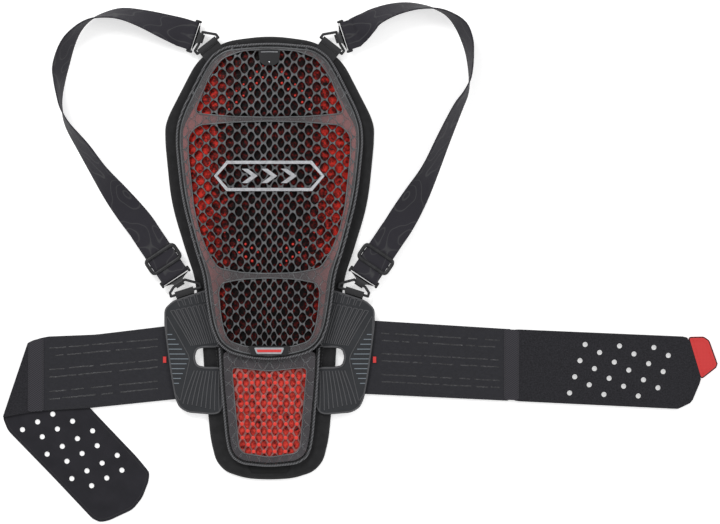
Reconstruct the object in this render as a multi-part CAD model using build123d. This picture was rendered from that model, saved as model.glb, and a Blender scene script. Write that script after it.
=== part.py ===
"""Motorcycle back protector with shoulder straps and a waist belt, lying on its body side.

Frame: +X to the right seen from outside, +Y towards the neck, +Z out of the back.
The origin is the centre of the pad's flat body-side face. Units are millimetres.
"""

from build123d import *
from math import atan2, cos, degrees, hypot, pi, radians, sin, sqrt, tan
import os

os.makedirs("parts", exist_ok=True)

# ---- crowned outer side ----
CROWN_ACROSS = 420.0  # radius of the crown across the back
CROWN_ALONG = 3000.0  # radius of the crown along the spine
SHELL_TOP = 30.0  # height of the main shell over the origin
TAIL_TOP = 24.0  # height that the tail shell would have over the origin
SHELL_THICK = 4.0
PLATE_SINK = 0.8  # the cell plates lie this far under the shell's surface
PIPING_WIDE = 2.0
PIPING_PROUD = 0.6
WINDOW_GAP = 0.2

# ---- pad ----
PAD_THICK = 8.0
PAD_BEVEL = 4.0
LINING_THICK = 1.2

# ---- wings ----
WING_THICK = 3.0
WING_TILT = 4.2  # degrees that a wing falls from the pad to the belt
HINGE_POINT = (-77.0, -103.5)  # a point on the left wing's fold
HINGE_LEAN = 0.0991  # how far the fold leans outwards, per millimetre up the back
HINGE_GAP = 0.4
SLOT_TOP, SLOT_LOW, SLOT_END = -100.9, -122.3, -84.2
TICKS = 11
TICK_PITCH = 5.5
TICK_MIDDLE = -113.5
TICK_LONG = 22.0
TICK_SHORTER = 2.9  # each tick is this much shorter than its neighbour towards the middle
TICK_EDGE = -113.0  # outer end of the middle tick
TICK_LEAN = 0.14  # how far the ticks' outer ends follow the wing's edge, per millimetre down the back
TICK_WIDE = 0.9

# ---- belt ----
BELT_LOW, BELT_HIGH = 2.0, 4.5
BAND_THICK = 0.6
FLAP_THICK = 1.7
HOLE_R = 2.9
BELT_START = 12.5  # from the wing's fold to the belt's inner end

# ---- straps and their fittings ----
STRAP_WIDE = 34.0
STRAP_THICK = 2.0
BAR_R = 1.5
BAR_PLAY = 0.35
LOOP_WALL = 1.7
LOOP_WIDE = 25.0
LOWER_LOOP_WIDE = 21.5  # it ends outboard of the wing's fold
LOWER_LOOP_SHIFT = -1.6  # along the lower bar, away from the fold
LOWER_TAB_CLEAR = 1.4  # from the wing's fold to the lower loop's tab
WING_COVER = ((-100.0, -110.0), 90.0, 200.0)  # middle, width and height of the plan area over a wing
RING_SHOULDER = 4.2  # a ring's limbs run straight for this far before they close in
SLEEVE_HALF = 15.4  # half of the strap's end loop, between a hook's limbs
UPPER_Z = 10.0  # height of the upper fittings
LOWER_Z = 10.2  # height of the lower fittings
SLOT_HALF = 17.5  # half of a hook's strap slot
CLAW_PLAY = 0.4
CLAW_WALL = 1.8
CLAW_REACH = 1.2  # how far a claw's open side reaches under its bar's middle
CLAW_HALF = 5.0
NECK_START = 1.0  # from the claw's bore to the hook's neck
NECK_END = 2.9  # from the hook's neck to its strap bar

# half outlines, from the middle of the top edge down the right side
PAD_HALF = [
    (0, 249.7), (51.8, 242.9), (81.1, 221.6), (112.5, 161.3), (117, 148), (116.6, 128.3), (110, 60.8),
    (93.1, 4.5), (85.3, -17.6), (82, -36), (74.4, -103.5), (73.5, -123.8), (65.9, -204.2), (59.6, -228.4),
    (48.9, -240.2), (26.3, -247.7), (0, -249.2),
]
SHELL_HALF = [
    (0, 242.4), (50.4, 238), (66.5, 227), (76, 212), (98.4, 167.3), (104.6, 148.5), (105.5, 128.3),
    (99.3, 68.6), (83.4, 8.6), (74.3, -18.6), (70.6, -50), (65.6, -78), (57.6, -96.8), (44.4, -106.9),
    (23.2, -112.5), (0, -114.8),
]
UPPER_WINDOW_HALF = [(0, 234.6), (30, 233), (52.8, 224.6), (66, 203), (80.2, 165.4), (40, 159.5), (0, 157.8)]
MIDDLE_WINDOW_HALF = [
    (0, 153.7), (45, 152), (80, 147), (89.9, 136), (90.3, 117), (83.9, 56.8), (77.9, 30.7), (69.3, 7.9),
    (57.3, -11.5), (30, -16.5), (0, -17.6),
]
LOWER_WINDOW_HALF = [
    (0, -22.2), (30, -23.5), (53, -28), (57, -37), (54.7, -63), (51.2, -81), (45.2, -93.4), (26, -99.5), (0, -101),
]
TAIL_HALF = [
    (0, -95), (57.3, -95), (55.1, -138.4), (49.3, -201.4), (46.5, -216.5), (41.3, -225.7), (31, -232), (0, -235.4),
]
TAIL_WINDOW_HALF = [(0, -126.9), (42.4, -122.3), (34.6, -213), (29.8, -219.5), (0, -223.9)]
WING_LEFT = [
    (-48, -36), (-71.8, -35.6), (-108.3, -47.6), (-118.4, -57), (-118.6, -76.6), (-111.6, -130.5),
    (-106.2, -157.4), (-100.8, -167.5), (-91, -173), (-48, -176.7),
]
BELT_LEFT = [(-195.8, -86.2), (-249.4, -88.4), (-263, -91.2), (-263, -172.6), (-203.4, -169.1)]
PANEL_LEFT = [(-263, -91.2), (-272.5, -95.4), (-300.9, -179.8), (-285, -176.5), (-263, -172.6)]
BAND_LEFT = [(-254.2, -89), (-272, -95.2), (-272.6, -173.2), (-254.2, -172.4)]
FLAP_LEFT = [
    (-272.5, -95.4), (-149.6, -224.3), (-135.4, -241.5), (-136.5, -252), (-143.6, -270.3), (-154.2, -283.4),
    (-180.3, -295), (-190.5, -297), (-199, -293), (-241.8, -247.4), (-294, -193.6), (-300.9, -179.8),
]
BELT_RIGHT = [(119.4, -71.1), (263.7, -80.1), (272.5, -80.5), (272.5, -160), (112, -152.4)]
PANEL_RIGHT = [
    (272.5, -80.5), (471.5, -89.1), (485.8, -136.8), (475, -162), (459.6, -169.3), (272.5, -160),
]
BAND_RIGHT = [(263.7, -80.1), (281.4, -80.9), (281, -160.4), (263.5, -159.6)]
TAB_RIGHT = [(471.5, -89.1), (489, -88.8), (495, -93), (504.4, -119.3), (503, -123.2), (485.8, -136.8)]
PATCH_RIGHT = [(300, -84.5), (466, -92), (478, -134), (469, -157), (456, -163), (300, -156)]
SIZE_BADGE = [(-12.5, 233.5), (12.5, 233.5), (10.5, 220), (6, 216.5), (-6, 216.5), (-10.5, 220)]
LOWER_BADGE = [(-24, -98.5), (24, -98.5), (20, -109.3), (-20, -109.3)]
BADGE_PLATE = [(-17, -100.4), (17, -100.4), (14, -107.6), (-14, -107.6)]

# flap holes: first hole of the middle row, step along a row, step to the next such row, shift between them
FLAP_HOLES = ((-250.8, -221.0), (17.07, 8.75), (27.8, -27.6), (22.3, -8.0))
PANEL_HOLES = ((355.5, -97.4), (-5.85, -18.2), (38.7, -1.7), (16.3, -9.0))

# fittings of the left side: bar centre, bar direction in degrees, half length
UPPER_BAR = ((-69.5, 239.0), 38.2, 15.0)
UPPER_RING_TIP = ((-77.5, 247.0), 72.0, 7.5)
UPPER_SLOT = (-87.0, 250.1)
LOWER_BAR = ((-94.0, -38.0), 17.5, 17.5)
LOWER_RING_TIP = ((-101.5, -28.5), 34.0, 7.5)
LOWER_SLOT = (-107.3, -19.5)
SLIDER_AT = 22.0  # from the lower slot to the slider's middle, along the strap
STRAIGHT_RUN = 69.0  # flat, straight strap over the lower slot
STRAIGHT_STATIONS = (58.0, 40.0, 22.0, 2.6)

# strap routes: x, y, lift over the ground, roll in degrees, from the upper hook down
STRAP_LEFT = [
    (-89.5, 250.9, 10, 0), (-101, 254.7, 9, 8), (-116, 259.9, 7, 28), (-142, 268.9, 4, 50), (-166, 274.5, 2, 64),
    (-186, 272.9, 1.5, 78), (-202.6, 267.3, 1.5, 90), (-216.2, 256.1, 1.5, 102), (-227.3, 239.1, 1.5, 116),
    (-234.6, 216, 1.5, 120), (-236, 199.8, 1.5, 110), (-235.8, 183, 1.5, 98), (-233.9, 168.4, 1.5, 90),
    (-226.6, 149.1, 1.5, 78), (-208.7, 123.4, 1.5, 63), (-190.4, 95.2, 1.8, 52), (-170, 68, 3, 28),
]
STRAP_RIGHT = [
    (89.5, 250.9, 10, 0), (99, 256, 9, 12), (109.5, 264, 7, 36), (119, 271, 5, 50), (136.1, 278.1, 3, 60),
    (154.4, 282, 2, 69), (172.7, 282.3, 1.5, 80), (189.8, 279.2, 1.5, 90), (203.5, 272.4, 1.5, 99),
    (216, 260.2, 1.5, 112), (222.5, 244.6, 1.5, 111), (225.2, 229.3, 1.5, 104), (226, 212.2, 1.5, 97),
    (224.9, 198.8, 1.5, 90), (220.4, 184.5, 1.5, 79), (211.6, 168.5, 1.5, 70), (197.2, 137, 1.5, 62),
    (180.5, 98.5, 1.8, 52), (165, 70, 3, 30),
]


def write(name, shape):
    export_step(shape, f"parts/{name}.step")


def corner_radii(points, share=0.45):
    """The largest fillet at each corner of a closed outline that leaves its neighbours room."""
    radii = []
    for i, (x, y) in enumerate(points):
        ax, ay = points[i - 1]
        bx, by = points[(i + 1) % len(points)]
        turn = atan2(by - y, bx - x) - atan2(y - ay, x - ax)
        turn = abs((turn + pi) % (2 * pi) - pi)
        run = min(hypot(x - ax, y - ay), hypot(bx - x, by - y))
        radii.append(share * run / tan(turn / 2) if turn > 0.004 else 0)
    return radii


def outline(points, rounding=0.45):
    """A face with the given corners, each rounded."""
    radii = corner_radii(points, rounding) if rounding else [0] * len(points)
    return make_face(FilletPolyline(*points, radius=radii, close=True))


def mirrored_outline(half):
    """A symmetric face from its half outline, which starts and ends on the middle line."""
    left = [(-x, y) for x, y in reversed(half[1:-1])]
    return outline(half + left)


def block(face, low, high):
    return Pos(0, 0, low) * extrude(face, high - low, dir=(0, 0, 1))


def crown_drop(x):
    return CROWN_ACROSS - sqrt(CROWN_ACROSS**2 - x**2)


def crown_slab(low, high):
    """The solid between two crowned surfaces, given by their heights over the origin. None is flat ground."""
    reach = 125.0
    side = crown_drop(reach)
    top = ThreePointArc((-reach, 0, high - side), (0, 0, high), (reach, 0, high - side))
    if low is None:
        floor = Polyline((reach, 0, high - side), (reach, 0, -20), (-reach, 0, -20), (-reach, 0, high - side))
        profile = make_face([top, floor])
    else:
        under = ThreePointArc((-reach, 0, low - side), (0, 0, low), (reach, 0, low - side))
        ends = [Line((s * reach, 0, low - side), (s * reach, 0, high - side)) for s in (-1, 1)]
        profile = make_face([top, ends[0], under, ends[1]])
    centre = Axis((0, 0, SHELL_TOP - CROWN_ALONG), (1, 0, 0))
    return revolve(profile, axis=centre, revolution_arc=12).rotate(centre, -6)


def on_crown(face, low, high, base=0.0):
    """A face raised into the layer between two crowned surfaces."""
    return block(face, base, 60) & crown_slab(low, high)


def mirror_side(shape, side):
    return shape if side == "left" else mirror(shape, about=Plane.YZ)


def build_panel():
    """The foam pad with its shells: everything that lies on the back and doesn't move."""
    pad_face = mirrored_outline(PAD_HALF)
    shell_face = mirrored_outline(SHELL_HALF)
    tail_face = mirrored_outline(TAIL_HALF) - shell_face
    windows = [mirrored_outline(h) for h in (UPPER_WINDOW_HALF, MIDDLE_WINDOW_HALF, LOWER_WINDOW_HALF)]
    tail_window = mirrored_outline(TAIL_WINDOW_HALF)
    pad = block(pad_face, LINING_THICK, PAD_THICK)
    write("back_pad", chamfer(pad.faces().sort_by(Axis.Z)[-1].edges(), PAD_BEVEL))
    write("pad_lining", block(pad_face, 0, LINING_THICK))

    inner = offset(shell_face, -PIPING_WIDE)
    write("shell_piping", on_crown(shell_face - inner, None, SHELL_TOP + PIPING_PROUD, PAD_THICK))
    write("impact_core", on_crown(inner, None, SHELL_TOP - SHELL_THICK, PAD_THICK))
    frame = inner
    for window in windows:
        frame -= window
    write("shell_frame", on_crown(frame, SHELL_TOP - SHELL_THICK, SHELL_TOP))
    for name, window in zip(("cells_upper", "cells_middle", "cells_lower"), windows):
        plate = offset(window, -WINDOW_GAP)
        write(name, on_crown(plate, SHELL_TOP - SHELL_THICK, SHELL_TOP - PLATE_SINK))

    tail_inner = offset(mirrored_outline(TAIL_HALF), -PIPING_WIDE) - shell_face
    write("tail_piping", on_crown(tail_face - tail_inner, None, TAIL_TOP + PIPING_PROUD, PAD_THICK))
    write("tail_core", on_crown(tail_inner, None, TAIL_TOP - SHELL_THICK, PAD_THICK))
    write("tail_shell", on_crown(tail_inner - tail_window, TAIL_TOP - SHELL_THICK, TAIL_TOP))
    tail_plate = offset(tail_window, -WINDOW_GAP)
    write("tail_cells", on_crown(tail_plate, TAIL_TOP - SHELL_THICK, TAIL_TOP - PLATE_SINK))

    write("size_badge", on_crown(outline(SIZE_BADGE, 0.3), SHELL_TOP - PLATE_SINK, SHELL_TOP + 1.2))
    write("lower_badge", on_crown(outline(LOWER_BADGE, 0.2), SHELL_TOP, SHELL_TOP + 2.0))
    write("lower_badge_plate", on_crown(outline(BADGE_PLATE, 0.2), SHELL_TOP + 2.0, SHELL_TOP + 2.6))
    write("emblem", build_emblem())
    return shell_face, tail_face


def build_emblem():
    """A plain raised badge: a long hexagonal ring round three chevrons."""
    half_long, half_wide, rim, middle = 62.0, 17.0, 3.5, 92.0
    nose = 14.0

    def hexagon(grow):
        a, b, c = half_long + grow, half_wide + grow, half_long - nose + grow * 0.5
        return Polyline((-a, 0), (-c, b), (c, b), (a, 0), (c, -b), (-c, -b), close=True)

    faces = [make_face(hexagon(0)) - make_face(hexagon(-rim))]
    for i in (-1, 0, 1):
        x = i * 22.0
        chevron = Polyline((x - 9, 8), (x - 2, 8), (x + 9, 0), (x - 2, -8), (x - 9, -8), (x + 2, 0), close=True)
        faces.append(make_face(chevron))
    solids = [on_crown(Pos(0, middle) * face, SHELL_TOP - PLATE_SINK, SHELL_TOP + 1.0) for face in faces]
    return Compound(children=[solid for group in solids for solid in group.solids()])


def fold_x(y):
    """Where the left wing's fold lies at a height on the back."""
    return HINGE_POINT[0] - HINGE_LEAN * (y - HINGE_POINT[1])


def wing_axis():
    return Axis((fold_x(0), 0, PAD_THICK), (-HINGE_LEAN, 1, 0))


def tilted(shape):
    """Tilts a piece of the left wing down about its fold."""
    return shape.rotate(wing_axis(), -WING_TILT)


def inboard_side(gap):
    """Everything on the pad's side of the left fold, in plan, up to a gap past it."""
    high, low = 0.0, -220.0
    return make_face(Polyline((fold_x(high) - gap, high), (fold_x(low) - gap, low), (0, low), (0, high), close=True))


def build_wing(side, shell_face, tail_face):
    """One moulded rubber side wing, its sewn root, its tick scale and the webbing loop under its top edge."""
    face = outline(WING_LEFT, 0.4)
    radius = (SLOT_TOP - SLOT_LOW) / 2
    slot = Pos((SLOT_END + radius) / 2, (SLOT_TOP + SLOT_LOW) / 2) * Rectangle(-SLOT_END - radius, 2 * radius)
    slot += Pos(SLOT_END + radius, (SLOT_TOP + SLOT_LOW) / 2) * Circle(radius)
    root = (face & inboard_side(0)) - slot - shell_face - tail_face
    plate = face - inboard_side(HINGE_GAP) - slot
    write(f"wing_root_{side}", mirror_side(block(root, PAD_THICK, PAD_THICK + WING_THICK), side))
    write(f"wing_plate_{side}", mirror_side(tilted(block(plate, PAD_THICK, PAD_THICK + WING_THICK)), side))

    ticks = []
    for i in range(TICKS):
        step = i - TICKS // 2
        y = TICK_MIDDLE + step * TICK_PITCH
        long = TICK_LONG - TICK_SHORTER * abs(step)
        edge = TICK_EDGE + TICK_LEAN * (TICK_MIDDLE - y)
        tick = Pos(edge + long / 2, y) * Rectangle(long, TICK_WIDE)
        ticks.append(tilted(block(tick, PAD_THICK + WING_THICK, PAD_THICK + WING_THICK + 0.3)))
    write(f"scale_marks_{side}", mirror_side(Compound(children=[t.solids()[0] for t in ticks]), side))


def rod(start, end, radius):
    """A round bar between two points, with rounded ends."""
    a, b = Vector(*start), Vector(*end)
    bar = Plane(origin=a, z_dir=b - a) * extrude(Circle(radius), (b - a).length)
    return bar + Pos(a) * Sphere(radius) + Pos(b) * Sphere(radius)


def bar_ends(bar, z):
    (x, y), angle, half = bar
    dx, dy = half * cos(radians(angle)), half * sin(radians(angle))
    return (x - dx, y - dy, z), (x + dx, y + dy, z)


def bar_plane(bar, z):
    """A plane across a bar at its middle: its z runs along the bar and its y points up."""
    (x, y), angle, _ = bar
    along = Vector(cos(radians(angle)), sin(radians(angle)), 0)
    return Plane(origin=(x, y, z), x_dir=Vector(0, 0, 1).cross(along), z_dir=along)


def build_ring(bar, tip, z):
    """A four-sided wire ring: its long bar lies in the webbing loop, its short bar holds the hook."""
    a, b = bar_ends(bar, z)
    c, d = bar_ends(tip, z)
    angle = radians(bar[1])
    out = (-sin(angle) * RING_SHOULDER, cos(angle) * RING_SHOULDER)
    a_out, b_out = ((x + out[0], y + out[1], z) for x, y, _ in (a, b))
    corners = [a, b, b_out, d, c, a_out]
    ring = rod(a, b, BAR_R)
    for start, end in zip(corners[1:], corners[2:] + corners[:1]):
        ring += rod(start, end, BAR_R)
    return ring


def loop_tube(bar, z, long):
    """Webbing folded round a bar: a sleeve with running play."""
    plane = bar_plane(bar, z)
    inner = BAR_R + BAR_PLAY
    sleeve = extrude(Circle(inner + LOOP_WALL) - Circle(inner), long / 2, both=True)
    bore = extrude(Circle(inner), long, both=True)
    return plane * sleeve, plane * bore


def build_loop(name, side, bar, z, wide, tab, cut):
    """A webbing loop: a sleeve round the ring's bar, with its sewn tab (low, high and inward reach)."""
    (x, y), angle, _ = bar
    low, high, inward = tab
    sleeve, bore = loop_tube(bar, z, wide)
    strip = Pos(x, y) * Rot(0, 0, angle) * (Pos(0, -inward / 2) * Rectangle(wide, inward))
    loop = sleeve + (block(strip, low, high) - cut) - bore
    write(f"{name}_{side}", mirror_side(loop, side))


def build_hook(tip, slot, z):
    """A strap hook: an open-bottomed claw over the ring's short bar, a neck, and a bar in the strap's end loop."""
    (x, y), _, _ = tip
    toward = Vector(slot[0] - x, slot[1] - y, 0)
    angle = degrees(atan2(toward.Y, toward.X))
    reach = toward.length
    inner = BAR_R + CLAW_PLAY
    outer = inner + CLAW_WALL
    arch = Circle(outer) - Circle(inner) - Pos(0, -outer) * Rectangle(2 * inner, 2 * outer)
    arch = arch - Pos(0, -outer - CLAW_REACH) * Rectangle(2 * outer, 2 * outer)
    claw = bar_plane((tip[0], angle - 90, 0), z) * extrude(arch, CLAW_HALF, both=True)
    place = Pos(x, y, z) * Rot(0, 0, angle)
    slot_bar = rod((reach, -SLOT_HALF, 0), (reach, SLOT_HALF, 0), BAR_R)
    near, corner = inner + NECK_START, reach - BAR_R - NECK_END
    limbs = [rod((reach, s * SLOT_HALF, 0), (corner, s * SLOT_HALF, 0), BAR_R) for s in (-1, 1)]
    sides = (near, -CLAW_HALF), (corner, -SLOT_HALF), (corner, SLOT_HALF), (near, CLAW_HALF)
    neck = make_face(Polyline(*sides, close=True))
    neck = block(neck, -BAR_R, BAR_R)
    return claw + place * (slot_bar + limbs[0] + limbs[1] + neck)


def smooth_route(stations, steps):
    """Catmull-Rom curve through the stations, each a tuple of values."""
    out = []
    last = len(stations) - 1
    for i in range(last):
        p0, p1, p2, p3 = (stations[min(max(k, 0), last)] for k in (i - 1, i, i + 1, i + 2))
        for j in range(steps):
            t = j / steps
            out.append([
                0.5 * (2 * b + (c - a) * t + (2 * a - 5 * b + 4 * c - d) * t**2 + (3 * b - a - 3 * c + d) * t**3)
                for a, b, c, d in zip(p0, p1, p2, p3)
            ])
    out.append(list(stations[-1]))
    return out


def ribbon(rows):
    """A closed ribbon through rows of four corner points, with flat triangular faces."""
    faces = []

    def triangle(a, b, c):
        faces.append(Face(Wire.make_polygon([a, b, c], close=True)))

    for row, following in zip(rows, rows[1:]):
        for k in range(4):
            a, b = row[k], row[(k + 1) % 4]
            c, d = following[k], following[(k + 1) % 4]
            triangle(a, b, d)
            triangle(a, d, c)
    for row in (rows[0], rows[-1]):
        triangle(row[0], row[1], row[2])
        triangle(row[0], row[2], row[3])
    return Solid(Shell(faces))


def lower_direction():
    """The way that the left strap runs up from its lower slot."""
    x, y = LOWER_SLOT
    return Vector(-146 - x, 38 - y, 0).normalized()


def strap_stations(side):
    """The strap's route with its lower, straight run added."""
    sign = -1 if side == "left" else 1
    way = lower_direction()
    stations = list(STRAP_LEFT if side == "left" else STRAP_RIGHT)
    for far in (STRAIGHT_RUN, *STRAIGHT_STATIONS):
        x = -sign * (LOWER_SLOT[0] + way.X * far)
        stations.append((x, LOWER_SLOT[1] + way.Y * far, LOWER_Z, 0))
    return stations


def build_strap(side):
    """Elastic webbing: flat at both ends, standing on edge round its outer curve."""
    sign = -1 if side == "left" else 1
    half, thin = STRAP_WIDE / 2 - 0.8, STRAP_THICK / 2
    line = []
    for x, y, lift, roll in smooth_route(strap_stations(side), 2):
        rise = half * abs(sin(radians(roll))) if roll > 0 else 0
        line.append((x, y, lift + rise, roll))
    rows = []
    for i, (x, y, z, roll) in enumerate(line):
        a, b = line[max(i - 1, 0)], line[min(i + 1, len(line) - 1)]
        along = Vector(b[0] - a[0], b[1] - a[1], 0).normalized()
        outward = Vector(along.Y, -along.X, 0) * -sign
        edge = outward * cos(radians(roll)) - Vector(0, 0, 1) * sin(radians(roll))
        face = along.cross(edge).normalized() * thin
        middle = Vector(x, y, z)
        edge = edge * half
        rows.append([middle + edge + face, middle - edge + face, middle - edge - face, middle + edge - face])
    strap = ribbon(rows)
    way = lower_direction()
    upper = (UPPER_SLOT, 72.0, 0)
    lower = (LOWER_SLOT, degrees(atan2(way.Y, way.X)) - 90, 0)
    for bar, z in ((upper, UPPER_Z), (lower, LOWER_Z)):
        sleeve, bore = loop_tube(bar, z, 2 * SLEEVE_HALF)
        strap = strap + mirror_side(sleeve, side) - mirror_side(bore, side)
    return strap


def build_slider():
    """A three-bar slider: end bars over the strap, middle bar under it, side bars beside it."""
    way = lower_direction()
    centre = (LOWER_SLOT[0] + way.X * SLIDER_AT, LOWER_SLOT[1] + way.Y * SLIDER_AT, LOWER_Z)
    half_wide, half_long, bar = 20.5, 11.5, 3.2
    clear = STRAP_THICK / 2 + 0.4
    rim = block(Rectangle(2 * half_wide, 2 * half_long), -clear - 2.0, clear + 2.0)
    rim = fillet(rim.edges().filter_by(Axis.Z), 3.0)
    rim -= block(Rectangle(STRAP_WIDE + 0.6, 2 * half_long + 2), -clear, clear)
    rim -= block(Rectangle(STRAP_WIDE + 0.6, 2 * half_long + 2), -clear - 3, -clear)
    rim -= block(Rectangle(STRAP_WIDE + 0.6, 2 * (half_long - bar)), 0, clear + 3)
    rim += block(Rectangle(2 * half_wide - 1, bar), -clear - 2.0, -clear)
    turn = degrees(atan2(way.Y, way.X)) - 90
    return Pos(*centre) * Rot(0, 0, turn) * rim


def build_fittings(side, wing_under, shell_face):
    """Loops, rings, hooks, strap and slider of one side."""
    over_pad = (PAD_THICK, PAD_THICK + 1.8, 16.0)
    under_wing = (PAD_THICK - 1.6, PAD_THICK, 15.0)
    (x, y), angle, half = LOWER_BAR
    shift = Vector(LOWER_LOOP_SHIFT, 0).rotate(Axis.Z, angle)
    lower_sleeve = ((x + shift.X, y + shift.Y), angle, half)
    build_loop("upper_loop", side, UPPER_BAR, UPPER_Z, LOOP_WIDE, over_pad, block(shell_face, 0, 60))
    build_loop("lower_loop", side, lower_sleeve, LOWER_Z, LOWER_LOOP_WIDE, under_wing, wing_under)
    for name, bar, tip, z in (
        ("upper_ring", UPPER_BAR, UPPER_RING_TIP, UPPER_Z),
        ("lower_ring", LOWER_BAR, LOWER_RING_TIP, LOWER_Z),
    ):
        write(f"{name}_{side}", mirror_side(build_ring(bar, tip, z), side))
    write(f"upper_hook_{side}", mirror_side(build_hook(UPPER_RING_TIP, UPPER_SLOT, UPPER_Z), side))
    write(f"lower_hook_{side}", mirror_side(build_hook(LOWER_RING_TIP, LOWER_SLOT, LOWER_Z), side))
    write(f"shoulder_strap_{side}", build_strap(side))
    write(f"strap_slider_{side}", mirror_side(build_slider(), side))


def holes(grid, rows):
    """Cutters for punched holes. A row is its lattice row, its shift (0 or 1) and its number of holes."""
    (x, y), (ax, ay), (bx, by), (cx, cy) = grid
    cutters = []
    for row, shift, count in rows:
        for k in range(count):
            hx = x + row * bx + shift * cx + k * ax
            hy = y + row * by + shift * cy + k * ay
            cutters.append(Pos(hx, hy, -5) * extrude(Circle(HOLE_R), 20))
    return cutters


def belt_inner_end(sign, top_y, low_y):
    """The two inner corners of a belt, hidden under its wing, parallel to the wing's fold."""
    return [(sign * (BELT_START - fold_x(y)), y) for y in (low_y, top_y)]


def build_belts():
    """The two belt halves, the left one's folded flap and the right one's pull tab."""
    left = belt_inner_end(-1, -73.8, -156.8)
    write("belt_elastic_left", block(outline(left + BELT_LEFT, 0), BELT_LOW, BELT_HIGH))
    right = belt_inner_end(1, -69.4, -151.1)
    write("belt_elastic_right", block(outline(right + BELT_RIGHT, 0), BELT_LOW, BELT_HIGH))
    write("belt_band_left", block(outline(BAND_LEFT, 0), BELT_HIGH, BELT_HIGH + BAND_THICK))
    write("belt_band_right", block(outline(BAND_RIGHT, 0), BELT_HIGH, BELT_HIGH + BAND_THICK))
    write("belt_panel_left", block(outline(PANEL_LEFT, 0), BELT_LOW, BELT_HIGH))
    panel = block(outline(PANEL_RIGHT, 0), BELT_LOW, BELT_HIGH)
    patch = block(outline(PATCH_RIGHT, 0.2), 0, BELT_LOW)
    rows = [(i, 0, 4) for i in range(3)] + [(i, 1, 3) for i in range(3)]
    for hole in holes(PANEL_HOLES, rows):
        panel -= hole
        patch -= hole
    write("belt_panel_right", panel)
    write("hook_patch_right", patch)
    write("pull_tab_right", block(outline(TAB_RIGHT, 0), BELT_LOW, BELT_LOW + 2.0))
    flap = block(outline(FLAP_LEFT, 0), 0, FLAP_THICK)
    rows = [(-1, 0, 3), (0, 0, 4), (1, 0, 4), (-1, 1, 3), (0, 1, 3), (1, 1, 3)]
    for hole in holes(FLAP_HOLES, rows):
        flap -= hole
    write("belt_flap_left", flap)
    for side in ("left", "right"):
        tag = Pos(-118.2, -114.5) * Rectangle(3.6, 7.0)
        write(f"pointer_tag_{side}", mirror_side(block(tag, BELT_HIGH, BELT_HIGH + 1.2), side))


def main():
    shell_face, tail_face = build_panel()
    (x, y), width, height = WING_COVER
    cover = Pos(x, y) * Rectangle(width, height)
    wing_under = tilted(block(cover, PAD_THICK, PAD_THICK + 20)) + block(inboard_side(LOWER_TAB_CLEAR), 0, 60)
    for side in ("left", "right"):
        build_wing(side, shell_face, tail_face)
        build_fittings(side, wing_under, shell_face)
    build_belts()


main()
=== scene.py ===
"""Looks of the back protector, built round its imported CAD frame, in millimetres until a mesh is made."""
import math
import random

import bmesh
import bpy
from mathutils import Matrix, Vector


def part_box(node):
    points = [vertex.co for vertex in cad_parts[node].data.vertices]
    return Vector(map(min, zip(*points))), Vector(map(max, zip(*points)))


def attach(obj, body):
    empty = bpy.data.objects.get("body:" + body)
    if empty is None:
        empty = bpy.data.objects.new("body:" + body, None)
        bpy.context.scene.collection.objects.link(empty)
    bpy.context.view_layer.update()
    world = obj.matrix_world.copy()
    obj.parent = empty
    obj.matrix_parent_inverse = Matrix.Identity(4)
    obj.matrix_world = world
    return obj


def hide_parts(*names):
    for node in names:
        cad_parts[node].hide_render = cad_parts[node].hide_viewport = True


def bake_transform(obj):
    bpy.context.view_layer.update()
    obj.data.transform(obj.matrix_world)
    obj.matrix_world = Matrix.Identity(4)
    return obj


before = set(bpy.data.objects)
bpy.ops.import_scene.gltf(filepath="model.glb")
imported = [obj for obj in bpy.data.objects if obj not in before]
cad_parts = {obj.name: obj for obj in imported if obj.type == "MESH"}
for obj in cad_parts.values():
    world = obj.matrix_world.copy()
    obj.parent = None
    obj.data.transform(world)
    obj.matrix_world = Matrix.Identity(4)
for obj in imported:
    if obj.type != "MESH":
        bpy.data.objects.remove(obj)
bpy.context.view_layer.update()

MM = 0.001
SIDES = ("left", "right")
OUTWARD = {"left": -1, "right": 1}
random.seed(7)

# ---- the frame's own sizes, as the CAD model has them ----
CROWN_ACROSS, CROWN_ALONG = 420.0, 3000.0
SHELL_TOP, TAIL_TOP = 30.0, 24.0
PAD_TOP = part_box("back_pad")[1][2] / MM
FOLD_X, FOLD_Y, FOLD_LEAN = -77.0, -103.5, 0.0991
WING_TILT = math.tan(math.radians(4.2))
WING_THICK = 3.0
BELT_LOW, BELT_HIGH = 2.0, 4.5
FLAP_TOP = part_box("belt_flap_left")[1][2] / MM
UPPER_Z, LOWER_Z = 10.0, 10.2
STRAP_HALF = 16.2

PAD_HALF = [
    (0, 250.9), (52, 244), (82, 222.2), (113.2, 161.5), (117.8, 148), (117.5, 128.3), (110.8, 60.8),
    (93.4, 4.5), (85.7, -17.6), (82.3, -36), (75, -103.5), (74, -123.8), (66.6, -204.2), (60.4, -228.8),
    (49.4, -240.9), (26.5, -248.4), (0, -249.8),
]
SHELL_HALF = [
    (0, 242.4), (50.4, 238), (66.5, 227), (76, 212), (98.4, 167.3), (104.6, 148.5), (105.5, 128.3),
    (99.3, 68.6), (83.4, 8.6), (74.3, -18.6), (70.6, -50), (65.6, -78), (57.6, -96.8), (44.4, -106.9),
    (23.2, -112.5), (0, -114.8),
]
WINDOW_HALVES = {
    "upper": [(0, 234.6), (30, 233), (52.8, 224.6), (68, 204), (84.5, 162.5), (40, 158.6), (0, 157.8)],
    "middle": [
        (0, 153.7), (45, 152.4), (80, 149.5), (91, 138), (91.3, 117), (84.9, 56.8), (78.7, 30.7), (69.8, 7.9),
        (57.3, -11.5), (30, -16.5), (0, -17.6),
    ],
    "lower": [
        (0, -22.2), (30, -23.5), (53, -28), (57, -37), (54.7, -63), (51.2, -81), (45.2, -93.4), (26, -99.5),
        (0, -101),
    ],
}
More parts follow.
